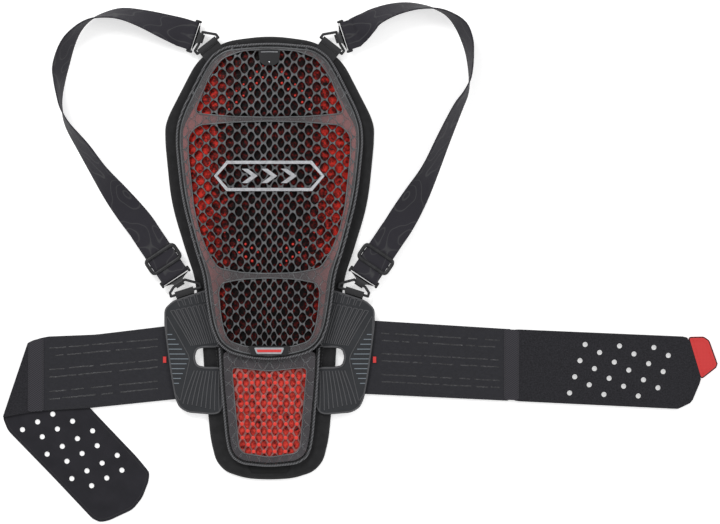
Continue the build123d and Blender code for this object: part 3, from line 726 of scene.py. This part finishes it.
def add_cell(shape, k, y, pitch, hole, top, depth, column, squeeze):
    """One cell of a lattice: a diamond tile with a deep leaf-shaped hole. Neighbours share their corners."""
    def stand(steps, at):
        return Vector((column(k + steps) * squeeze(at), at))

    middle = stand(0, y)
    corners = [stand(1, y), stand(0, y + pitch / 2), stand(-1, y), stand(0, y - pitch / 2)]
    rings = [[] for _ in range(6)]
    for p, q in zip(corners, corners[1:] + corners[:1]):
        for j in range(CELL_STEPS):
            edge = p.lerp(q, j / CELL_STEPS)
            rim = middle + Vector(leaf(*hole, math.atan2(edge.y - y, edge.x - middle.x)))
            out = (rim - middle).normalized()
            near = rim + out * 0.45
            for ring, (point, rise) in zip(rings, (
                (edge, 0.05), (edge.lerp(near, 0.5), 0.12), (near, 0.0), (rim + out * 0.12, -0.28),
                (rim - out * 0.05, -0.9), (rim - out * 0.45, -depth),
            )):
                ring.append((point.x, point.y, crown(point.x, point.y, top) + rise))
    shape.rings(rings[:5], kind=0)
    shape.rings(rings[4:], kind=1)


def add_outline(shape, centre, hole, outer, windows, top, rise, radius):
    """A raised cell outline, drawn only where it lies on the frame between the windows and the edge."""
    run = []
    for m in range(OUTLINE_STEPS + 2):
        dx, dy = leaf(*hole, 2 * math.pi * m / OUTLINE_STEPS)
        p = (centre[0] + dx, centre[1] + dy)
        if m <= OUTLINE_STEPS and inside_by(p, outer) > 0.5 and inside_any(p, windows) < -0.6:
            run.append(p)
            continue
        if len(run) > 2:
            shape.tube(lifted(run, top, rise), radius, sides=5)
        run = []


def build_windows(windows):
    """The moulded cell lattices in the main shell's three windows."""
    for name, loop in windows.items():
        low, high = min(p.y for p in loop) - 8, max(p.y for p in loop) + 8
        shape = Shape()
        for k in range(-13, 14):
            for j in CELL_ROWS:
                y = FIRST_ROW + j * CELL_PITCH + k % 2 * CELL_PITCH / 2
                squeeze = narrowing(y)
                if not low < y < high or inside_by((column_x(k) * squeeze, y), loop) < -4.5:
                    continue
                n = min(abs(k), 8)
                hole = ((3.6 + 0.2 * n) * (0.35 + 0.65 * squeeze), 5.75 + 0.05 * n, 1.42 + 0.05 * n)
                add_cell(shape, k, y, CELL_PITCH, hole, SHELL_TOP - 1.1, 4.4, column_x, narrowing)
        shape.object(f"lattice_{name}", ["lattice", "wall"], "panel", "cell_mesh", [f"cells_{name}"])


def build_core(windows):
    """The red core under the cells, with small bright studs along two falling lines."""
    loop = even(rounded(mirrored(CORE_HALF)), 5.0)
    mesh = sheet_mesh(loop, [], lambda x, y: crown(x, y, SHELL_TOP) - 6.2, 1.5, 6.0)
    join("core", [mesh], ["core"], "panel", ["impact_core"])
    # The core's edge under the frame, its colour carrying a painted highlight that brightens towards the
    # sides.
    mesh = sheet_mesh(loop, list(windows.values()), lambda x, y: crown(x, y, SHELL_TOP) - 1.5, 0.8, 8.0)
    join("core_edge_painted_highlight", [mesh], ["core_edge_painted_highlight"], "panel")
    shape = Shape()
    for k in range(-9, 10):
        x = column_x(k)
        for start, lean, low, high in STUD_LINES:
            if not low < abs(x) < high:
                continue
            y = start - lean * abs(x)
            size = 1.3 + 0.5 * random.random()
            stand = x * narrowing(y) + math.copysign(1.0, x)
            base = crown(stand, y, SHELL_TOP) - 5.2
            shape.dome(stand, y - 1.5, base, size, size, (0.0, 0.5, 1.0, 1.4), 10)
    shape.object("core_studs", "stud", "panel", "red_tag")


def build_shell(windows):
    """The smoke frame of the main shell."""
    loop = even(rounded(mirrored(SHELL_HALF)), 3.0)
    build_edge("shell", "shell_piping", loop, SHELL_TOP, SHELL_WALL, 3.6, closed=True)
    outer = even(inset_line(loop, 5.0), 4.0)
    rim = sheet_mesh(outer, windows, lambda x, y: crown(x, y, SHELL_TOP) - 0.1, 1.2)
    lips, emboss = Shape(), Shape()
    for window in windows:
        lips.tube(lifted(even(window, 3.0), SHELL_TOP, -0.35), 0.75, closed=True)
    lips.tube(lifted(even(outer, 3.0), SHELL_TOP, -0.5), 0.8, closed=True)
    for k in range(-14, 15):
        for j in CELL_ROWS:
            y = FIRST_ROW + j * CELL_PITCH + k % 2 * CELL_PITCH / 2
            x = column_x(k) * narrowing(y)
            if inside_by((x, y), outer) >= 0 and -9 <= inside_any((x, y), windows) <= -1:
                add_outline(emboss, (x, y), (4.9, 6.6, 1.6), outer, windows, SHELL_TOP, -0.17, 0.26)
    join("smoke_frame", [rim, lips, emboss], ["smoke", "lattice", "lattice"], "panel",
         ["shell_frame"])


def build_tail():
    """The tail: smoke frame, and a window with a red moulded lattice, pits and round bumps."""
    side = TAIL_HALF[1:-1]
    around = [(-x, y) for x, y in side] + [TAIL_HALF[-1]] + side[::-1]
    line = [p for p in even(rounded(around, closed=False), 3.0, closed=False) if p.y < -100]
    build_edge("tail", "tail_piping_cord", line, TAIL_TOP, TAIL_WALL, 3.4, closed=False)
    loop = even(rounded(mirrored([(0, -100), (57, -100)] + TAIL_HALF[2:]), limit=12.0), 3.0)
    top = TAIL_TOP - 0.3
    corners = rounded(mirrored(TAIL_WINDOW_HALF), 0.12)
    window, outer = even(corners, 4.0), inset_line(loop, 4.6)
    rim = sheet_mesh(even(outer, 4.0), [window], lambda x, y: crown(x, y, top), 1.2)
    lips, emboss, cells, bumps = Shape(), Shape(), Shape(), Shape()
    lips.tube(lifted(even(window, 3.0), top, -0.2), 0.7, closed=True)
    half = TAIL_PITCH / 2
    for k in range(-8, 9):
        offset = k % 2 * half
        for j in range(0, 9):
            y = -110 - j * TAIL_PITCH - offset
            x = tail_column(k) * tail_squeeze(y)
            if inside_by((x, y), window) <= -1 and inside_by((x, y), outer) >= 0:
                add_outline(emboss, (x, y), (5.4, 7.4, 1.6), outer, [window], top, 0.02, 0.36)
        for j in range(-1, 9):
            y = -124.5 - j * TAIL_PITCH + offset
            x = tail_column(k) * tail_squeeze(y)
            if inside_by((x, y), window) > -5:
                add_cell(cells, k, y, TAIL_PITCH, (3.5, 5.6, 1.4), top - 1.2, 3.4, tail_column, tail_squeeze)
            if inside_by((x, y + half), window) > 1.5:
                bumps.dome(x, y + half, crown(x, y + half, top) - 1.3, 2.3, 0.9)
    join("tail_frame", [rim, lips, emboss], ["tail_smoke", "lattice", "lattice"], "panel",
         ["tail_shell"])
    cells.object("tail_lattice", ["tail_top", "tail_wall"], "panel", "tail_mesh", ["tail_cells"])
    bumps.object("tail_bumps", "stud", "panel", "red_tag")
    floor = sheet_mesh(even(corners, 5.0), [], lambda x, y: crown(x, y, top) - 4.4, 1.0, 5.0)
    join("tail_core_foam", [floor], ["tail_floor"], "panel", ["tail_core"])


def dress(node, look, bevel=0.0):
    """Gives a CAD node a better material and softer edges."""
    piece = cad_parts[node]
    for held in piece.material_slots:
        held.material = LOOKS[look]
    if bevel:
        soften = piece.modifiers.new("soft_edges", "BEVEL")
        soften.width, soften.segments, soften.limit_method = bevel * MM, 3, "ANGLE"
        soften.angle_limit = math.radians(35)
        soften.use_clamp_overlap = True


# ---- wings ----
def fold_distance(x, y):
    """How far a point of the left side lies outboard of the wing's fold."""
    return (FOLD_X - FOLD_LEAN * (y - FOLD_Y)) - x


def wing_top(x, y):
    """The left wing's upper surface: flat on the pad, then falling to the belt."""
    d = fold_distance(x, y)
    base = PAD_TOP + WING_THICK
    if d < -BEND_REACH:
        return base
    if d > BEND_REACH:
        return base - d * WING_TILT
    return base - WING_TILT * (d + BEND_REACH) ** 2 / (4 * BEND_REACH)


def on_wing(line, rise):
    return [(x, y, wing_top(x, y) + rise) for x, y in line]


def add_rib(shape, start, end, rise, radius, bend=0.0, steps=8):
    """A raised rib between two points of the wing."""
    a, b = Vector(start), Vector(end)
    side = Vector((a.y - b.y, b.x - a.x)).normalized()
    line = [a.lerp(b, i / steps) + side * bend * math.sin(math.pi * i / steps) for i in range(steps + 1)]
    shape.tube(on_wing(line, rise), radius, sides=6, flat=0.8)


def build_wing(side):
    """One moulded wing: its plate, raised borders, fanned ribs and stitching."""
    loop = even(rounded(WING, 0.35), 3.0)
    plate = sheet_mesh(loop, [], wing_top, WING_THICK - 0.2, 5.0)
    # Rims and ribs take the lighter rib material, a painted highlight; the two upper fans draw each rib as a
    # pair of lines for its two lit edges.
    ribs, thread = Shape(), Shape()
    ribs.tube(on_wing(inset_line(loop, 1.1), 0.0), 0.9, closed=True, flat=0.8)
    ribs.tube(on_wing(even(rounded(SCALE_RIM, 0.12), 2.5), 0.1), 0.6, closed=True, sides=6)
    ribs.tube(on_wing(even(rounded(SLOT_RIM, closed=False), 2.0, closed=False), 0.15), 0.8)
    for i in range(8):
        t = i / 6
        top, low = (-107.3 + 37.3 * t, -58.7 + 7.5 * t), (-86.0 + 26.7 * t, -98.5 + 3.4 * t)
        if top[0] < -57:
            beside = (top[0] - 4.2, top[1] - 0.9)
            add_rib(ribs, top, low, 0.35, 0.75, 0.4)
            add_rib(ribs, beside, (low[0] - 2.0, low[1] - 0.4), 0.2, 0.62, 0.4)
            add_rib(ribs, beside, top, 0.1, 0.5)
    for i in range(6):
        t = i / 4
        top, low = (-103.6 + 28.6 * t, -48.6 + 9.5 * t), (-100.8 + 28.0 * t, -54.6 + 5.0 * t)
        if top[0] < -62:
            beside = (top[0] + 4.6, top[1] + 1.5)
            add_rib(ribs, top, low, 0.25, 0.65)
            add_rib(ribs, top, beside, 0.25, 0.6)
            add_rib(ribs, beside, (low[0] + 4.8, low[1] + 1.0), 0.2, 0.55)
    for i in range(9):
        t = i / 8
        low = (-97.5 + 41.0 * t, -164.0 - 9.0 * t + 4 * t * (1 - t))
        add_rib(ribs, (-84.5 + 28.0 * t, -126.5 - 0.8 * t), low, 0.35, 0.75, -0.5)
    thread.stitches(on_wing([(-60.5, -100), (-57.6, -125), (-54.5, -160), (-53.2, -174)], 0.25), 2.4)
    forms = [plate, ribs.mesh(), thread.mesh()]
    if side == "right":
        for mesh in forms:
            for v in mesh.vertices:
                v.co.x = -v.co.x
            mesh.flip_normals()
    piece = join(f"side_wing_{side}", forms, ["rubber", "ribs", "thread"], None,
                 [f"wing_root_{side}", f"wing_plate_{side}"])
    middle, way = Vector((FOLD_X, FOLD_Y, PAD_TOP)), Vector((1.0, FOLD_LEAN, 0)).normalized() * BEND_REACH
    start, end = ((OUTWARD[side] * abs(p.x) * MM, p.y * MM, p.z * MM) for p in (middle + way, middle - way))
    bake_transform(piece)
    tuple(start)
    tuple(end)


# ---- webbing straps ----
def wrap(side, point, way, height, order):
    """The (middle, edge) rows of a strap's fold round a bar at a point. The strap leaves along a way."""
    edge = Vector((OUTWARD[side] * way.y, way.x, 0))
    middles = [(point + way * u, height + rise) for u, rise in order]
    return [(Vector((-OUTWARD[side] * p.x, p.y, z)), edge) for p, z in middles]


def ribbon(shape, rows, half, thick):
    """A woven strip with rounded edges. rows holds (middle, edge direction) pairs."""
    section = [(-1, 0), (-0.985, 0.8), (-0.93, 1), (-0.6, 0.92), (-0.2, 0.9)]
    section += [(-u, v) for u, v in reversed(section)]
    section += [(u, -v) for u, v in reversed(section[1:-1])]
    rings, lengths = [], [0.0]
    for i, (middle, edge) in enumerate(rows):
        way = (rows[min(i + 1, len(rows) - 1)][0] - rows[max(i - 1, 0)][0]).normalized()
        face = way.cross(edge).normalized()
        rings.append([middle + edge * half * u + face * thick * v for u, v in section])
        if i:
            lengths.append(lengths[-1] + (middle - rows[i - 1][0]).length)
    shape.rings(rings, caps=True)
    return section, lengths


def build_strap(side):
    """A shoulder strap, folded round both hooks' bars."""
    flip = -OUTWARD[side]
    angle = math.radians(UPPER_WAY)
    tail = (15, 12) if side == "left" else (12, 10)
    turn = [(tail[0], -1.75), (tail[1], -1.75), *STRAP_TURN]
    first = wrap(side, Vector(UPPER_SLOT), Vector((math.cos(angle), math.sin(angle))), UPPER_Z, turn)
    way = (Vector(LOWER_END) - Vector(LOWER_SLOT)).normalized()
    last = wrap(side, Vector(LOWER_SLOT), way, LOWER_Z, turn[:2:-1])
    stations = list(STRAPS[side])
    for far in (69.0, 58.0, 46.0, 34.0, 22.0, 15.0):
        stations.append((flip * (LOWER_SLOT[0] + way.x * far), LOWER_SLOT[1] + way.y * far, LOWER_Z, 0))
    line = []
    for x, y, lift, roll in catmull(stations, 4):
        roll = math.radians(max(roll, 0))
        line.append((Vector((x, y, lift + STRAP_HALF * abs(math.sin(roll)))), roll))
    body = []
    for i, (p, roll) in enumerate(line):
        along = (line[min(i + 1, len(line) - 1)][0] - line[max(i - 1, 0)][0]).to_2d().normalized()
        outward = Vector((along.y, -along.x, 0)) * flip
        body.append((p, outward * math.cos(roll) - Vector((0, 0, math.sin(roll)))))
    if first[-1][1].dot(body[0][1]) < 0:
        first = [(p, -e) for p, e in first]
    if last[0][1].dot(body[-1][1]) < 0:
        last = [(p, -e) for p, e in last]
    shape = Shape()
    section, lengths = ribbon(shape, first + body + last, STRAP_HALF, 0.8)
    mesh = shape.mesh()
    mesh.materials.append(LOOKS["webbing"])
    layer = mesh.uv_layers.new(name="UVMap")
    for loop in mesh.loops:
        row, column = divmod(loop.vertex_index, len(section))
        layer.data[loop.index].uv = (lengths[row] * MM, section[column][0] * STRAP_HALF * MM)
    turn_outward(mesh)
    piece = finish_object(f"strap_webbing_{side}", mesh, f"strap_{side}",
                          [f"shoulder_strap_{side}"], 60)


def along_strap(side, base, toward, u, v):
    """A point u along and v across the way from one point to another, on the asked side."""
    way = (Vector(toward) - Vector(base)).normalized()
    p = Vector(base) + way * u + Vector((-way.y, way.x)) * v
    return -OUTWARD[side] * p.x, p.y


def build_slider(side):
    """The strap's slider: a thick rounded frame and a middle bar under the webbing."""
    def stand(points, rise):
        return [(*along_strap(side, LOWER_SLOT, LOWER_END, u, v), LOWER_Z + rise) for u, v in points]

    near, far = SLIDER_AT - SLIDER_LONG, SLIDER_AT + SLIDER_LONG
    corners = [(near, -SLIDER_WIDE), (far, -SLIDER_WIDE), (far, SLIDER_WIDE), (near, SLIDER_WIDE)]
    shape = Shape()
    shape.tube(stand(even(rounded(corners, 0.3, 6, 4.5), 1.5), 1.6), 2.1, closed=True, sides=12, flat=0.8)
    shape.tube(stand([(SLIDER_AT, -SLIDER_WIDE), (SLIDER_AT, SLIDER_WIDE)], -2.2), 1.3)
    shape.object(f"slider_{side}", "hook", f"slider_{side}", "hook_plastic", [f"strap_slider_{side}"])


def build_hook_covers(side):
    """Each hook's broad yoke, over its claw and neck."""
    for name, tip, slot, high in (
        ("upper", (-77.5, 247.0), UPPER_SLOT, UPPER_Z), ("lower", (-101.5, -28.5), LOWER_SLOT, LOWER_Z),
    ):
        wide = (Vector(slot) - Vector(tip)).length - 4.7
        corners = [(-1.5, -4.6), (2.6, -6.5), (wide, -15.0), (wide, 15.0), (2.6, 6.5), (-1.5, 4.6)]
        line = even(rounded(corners, 0.25, 4, 2.0), 1.2)
        shape = Shape()
        shape.rings([
            [(*along_strap(side, tip, slot, p.x, p.y), high + rise) for p in inset_line(line, inset)]
            for inset, rise in ((0.3, 1.8), (0, 2.0), (0, 2.7), (0.4, 3.1), (1.2, 3.3))
        ], caps=True)
        shape.object(f"{name}_hook_yoke_{side}", "yoke", f"strap_{side}", "hook_plastic")


# ---- belt ----
def punched(first, along, down, shift, rows):
    """Round holes in rows: each row is (place down, share of the shift, count)."""
    start, along, down, shift = (Vector(v) for v in (first, along, down, shift))
    turns = [-2 * math.pi * k / HOLE_SIDES for k in range(HOLE_SIDES)]
    ring = [Vector((math.cos(t), math.sin(t))) * HOLE_RADIUS for t in turns]
    middles = [start + down * row + shift * moved + along * k
               for row, moved, count in rows for k in range(count)]
    return [[middle + p for p in ring] for middle in middles]


def build_belt(side):
    """One elastic half with its grip lines, and the stitched band at its end."""
    elastic = plate_mesh(BELTS[side], 0.06, 5.0, BELT_LOW, BELT_HIGH, 0.7)
    lines, thread = Shape(), Shape()
    for share in (0.16, 0.26, 0.44, 0.54, 0.73, 0.83):
        add_grip_line(lines, belt_point(side, 0.0, share), belt_point(side, 1.0, share))
    for share in (0.03, 0.97):
        ends = [(*belt_point(side, along, share), BELT_HIGH) for along in (0.2, 1.0)]
        thread.stitches(ends, 2.6, 1.4, 0.22)
    piece = join(f"elastic_{side}", [elastic, lines, thread], ["elastic", "gloss", "thread"],
                 f"belt_{side}", [f"belt_elastic_{side}"])
    band = plate_mesh(BANDS[side], 0.08, 4.0, BELT_HIGH - 0.4, BELT_HIGH + 0.7, 0.35)
    thread = Shape()
    points = [Vector(p) for p in BANDS[side]]
    for a, b, inward in ((points[0], points[3], 1), (points[1], points[2], -1)):
        step = 1.4 * inward * OUTWARD[side]
        ends = [(*(p + Vector((step, shift))), BELT_HIGH + 0.7) for p, shift in ((a, -2), (b, 2))]
        thread.stitches(ends, 2.2, 1.4, 0.3)
    join(f"band_{side}", [band, thread], ["band", "thread"], f"belt_{side}",
         [f"belt_band_{side}"])


def belt_point(side, along, share):
    """A point of a belt's top: along runs from its wing to its band, share from its top edge to its low."""
    if side == "left":
        x = -122 - 130 * along
        top = -77.4 - (-x - 118.9) * 0.12 if x > -195.8 else -86.2 - (-x - 195.8) * 0.041
        low = -160.4 - (-x - 118.9) * 0.103
    else:
        x = 122 + 141 * along
        top = -71.3 - (x - 122) * 0.0624
        low = -152.9 - (x - 122) * 0.047
    return x, top + (low - top) * share


def add_grip_line(shape, a, b):
    """A thin silicone grip line, broken into dashes of random length."""
    a, b = Vector(a), Vector(b)
    total, at = (b - a).length, 4.0
    while at < total - 12:
        end = min(at + random.uniform(8, 46), total - 4)
        count = max(3, int((end - at) / 3))
        line = []
        for i in range(count + 1):
            p = a.lerp(b, (at + (end - at) * i / count) / total)
            line.append((p.x, p.y + random.uniform(-0.25, 0.25), BELT_HIGH + 0.02))
        shape.tube(line, 0.7, sides=6, flat=0.45)
        at = end + random.uniform(1.5, 9)


def build_right_end():
    """The right half's loop panel with its punched holes, hook patch underneath and red pull tab."""
    rows = [(i, 0, 4) for i in range(3)] + [(i, 1, 3) for i in range(3)]
    holes = punched((355.5, -97.4), (-5.85, -18.2), (38.7, -1.7), (16.3, -9.0), rows)
    panel = plate_mesh(PANELS["right"], 0.1, 5.0, BELT_LOW, BELT_HIGH, 0.6, holes)
    piece = join("loop_panel_right", [panel], ["pile"], "belt_right", ["belt_panel_right"])
    patch = plate_mesh(PATCH, 0.2, 5.0, 0.05, BELT_LOW, 0.3, holes)
    join("hook_patch", [patch], ["pile"], "belt_right", ["hook_patch_right"])
    tab = plate_mesh(TAB, 0.2, 2.0, BELT_LOW + 0.1, BELT_LOW + 2.0, 0.6)
    rim, ridge = Shape(), Shape()
    line = even(rounded(TAB, 0.2), 1.5)
    rim.tube([(*p, BELT_LOW + 1.4) for p in inset_line(line, 0.4)], 0.8, closed=True)
    ridge.tube([(*p, BELT_LOW + 2.0) for p in inset_line(line, 4.2)], 0.35, closed=True, sides=6)
    join("pull_tab", [tab, rim, ridge], ["red", "edge", "red"], "belt_right",
         ["pull_tab_right"])


def build_left_end():
    """The left half's loop panel, and the flap that is folded under it."""
    panel = plate_mesh(PANELS["left"], 0.06, 4.0, BELT_LOW, BELT_HIGH, 0.6)
    piece = join("loop_panel_left", [panel], ["pile"], "belt_left", ["belt_panel_left"])
    rows = [(-1, 0, 3), (0, 0, 4), (1, 0, 4), (-1, 1, 3), (0, 1, 3), (1, 1, 3)]
    holes = punched((-250.8, -221.0), (17.07, 8.75), (27.8, -27.6), (22.3, -8.0), rows)
    flap = plate_mesh(FLAP, 0.25, 4.0, 0.02, FLAP_TOP, 0.45, holes)
    hem = Shape()
    line = [p for p in inset_line(even(rounded(FLAP, 0.25), 2.5), 3.2) if p.y < -176]
    hem.tube([(*p, FLAP_TOP - 0.12) for p in line], 0.28, sides=6)
    piece = join("flap", [flap, hem], ["smooth", "thread"], "flap_left",
                 ["belt_flap_left"])


# ---- fittings, badges ----
def build_fittings():
    """CAD fittings that keep their own shape, and the badges."""
    for side in SIDES:
        for name, look, bevel in (
            ("upper_ring", "ring", 0), ("lower_ring", "ring", 0), ("upper_hook", "hook", 0.3),
            ("lower_hook", "hook", 0.3), ("upper_loop", "tape", 0.4),
            ("lower_loop", "tape", 0.4), ("scale_marks", "mark", 0.1), ("pointer_tag", "red", 0.5),
        ):
            dress(f"{name}_{side}", look, bevel)
    dress("emblem", "metal", 0.4)
    dress("lower_badge", "badge", 0.6)
    dress("lower_badge_plate", "metal", 0.3)
    dress("size_badge", "badge", 0.5)
    shape = Shape()
    face = SHELL_TOP + 1.3
    shape.tube(lifted([(-9.5, 231.2), (0, 231.4), (9.5, 231.2)], face, 0.0), 0.45, sides=6)
    shape.dome(0, 220.0, crown(0, 220, face) - 0.2, 1.0, 0.5)
    shape.object("size_badge_trim", "metal", "panel", "badge_plate")
    shape = Shape()
    inlay = [(-14.2, -102.6), (14.2, -102.6), (13.0, -105.6), (-13.0, -105.6)]
    shape.rings([lifted(inlay, SHELL_TOP, rise) for rise in (2.5, 2.85)], caps=True)
    shape.object("lower_badge_inlay", "red", "panel", "red_tag")


def add_object(name, data):
    made = bpy.data.objects.new(name, data)
    bpy.context.scene.collection.objects.link(made)
    return made


def build_stage():
    """A white floor, a plain white world and three soft lamps."""
    floor = bpy.data.meshes.new("floor")
    reach, low = 6.0, -0.0004
    corners = [(-reach, -reach), (reach, -reach), (reach, reach), (-reach, reach)]
    floor.from_pydata([(x, y, low) for x, y in corners], [], [(0, 1, 2, 3)])
    floor.materials.append(Look("floor", (0.93, 0.93, 0.93), 0.9, Emission_Color=(1, 1, 1, 1),
                                Emission_Strength=0.45).material)
    add_object("floor", floor)
    world = bpy.data.worlds.new("studio")
    bpy.context.scene.world = world
    world.use_nodes = True
    world.node_tree.nodes["Background"].inputs["Color"].default_value = (1, 1, 1, 1)
    world.node_tree.nodes["Background"].inputs["Strength"].default_value = 0.5
    for name, place, size, power in (
        ("key", (-1.0, 1.5, 2.0), 1.0, 30), ("fill", (1.6, 0.6, 2.0), 1.2, 12),
        ("low", (0.2, -1.8, 1.4), 1.2, 7),
    ):
        light = bpy.data.lights.new(name, "AREA")
        light.size, light.energy = size, power
        lamp = add_object(name, light)
        lamp.location = place
        lamp.rotation_euler = (Vector((0.05, 0, 0)) - Vector(place)).to_track_quat("-Z", "Y").to_euler()


def build_camera():
    """Straight down on the object, with a long lens."""
    high, wide = 5.0, 0.81
    camera = bpy.data.cameras.new("camera")
    camera.sensor_width = 36.0
    camera.lens = camera.sensor_width * (high - 0.01) / wide
    camera.clip_end = 50
    holder = add_object("camera", camera)
    holder.location = (0.1018, -0.0045, high)
    bpy.context.scene.camera = holder
    bpy.context.scene.view_settings.view_transform = "Standard"


def main():
    build_camera()
    build_stage()
    windows = {name: even(rounded(mirrored(half), limit=6.5), 2.5) for name, half in WINDOW_HALVES.items()}
    build_pad()
    build_core(windows)
    build_windows(windows)
    build_shell(list(windows.values()))
    build_tail()
    for side in SIDES:
        build_wing(side)
        build_strap(side)
        build_slider(side)
        build_hook_covers(side)
    for side in SIDES:
        build_belt(side)
    build_right_end()
    build_left_end()
    build_fittings()


LOOKS = make_looks()
main()
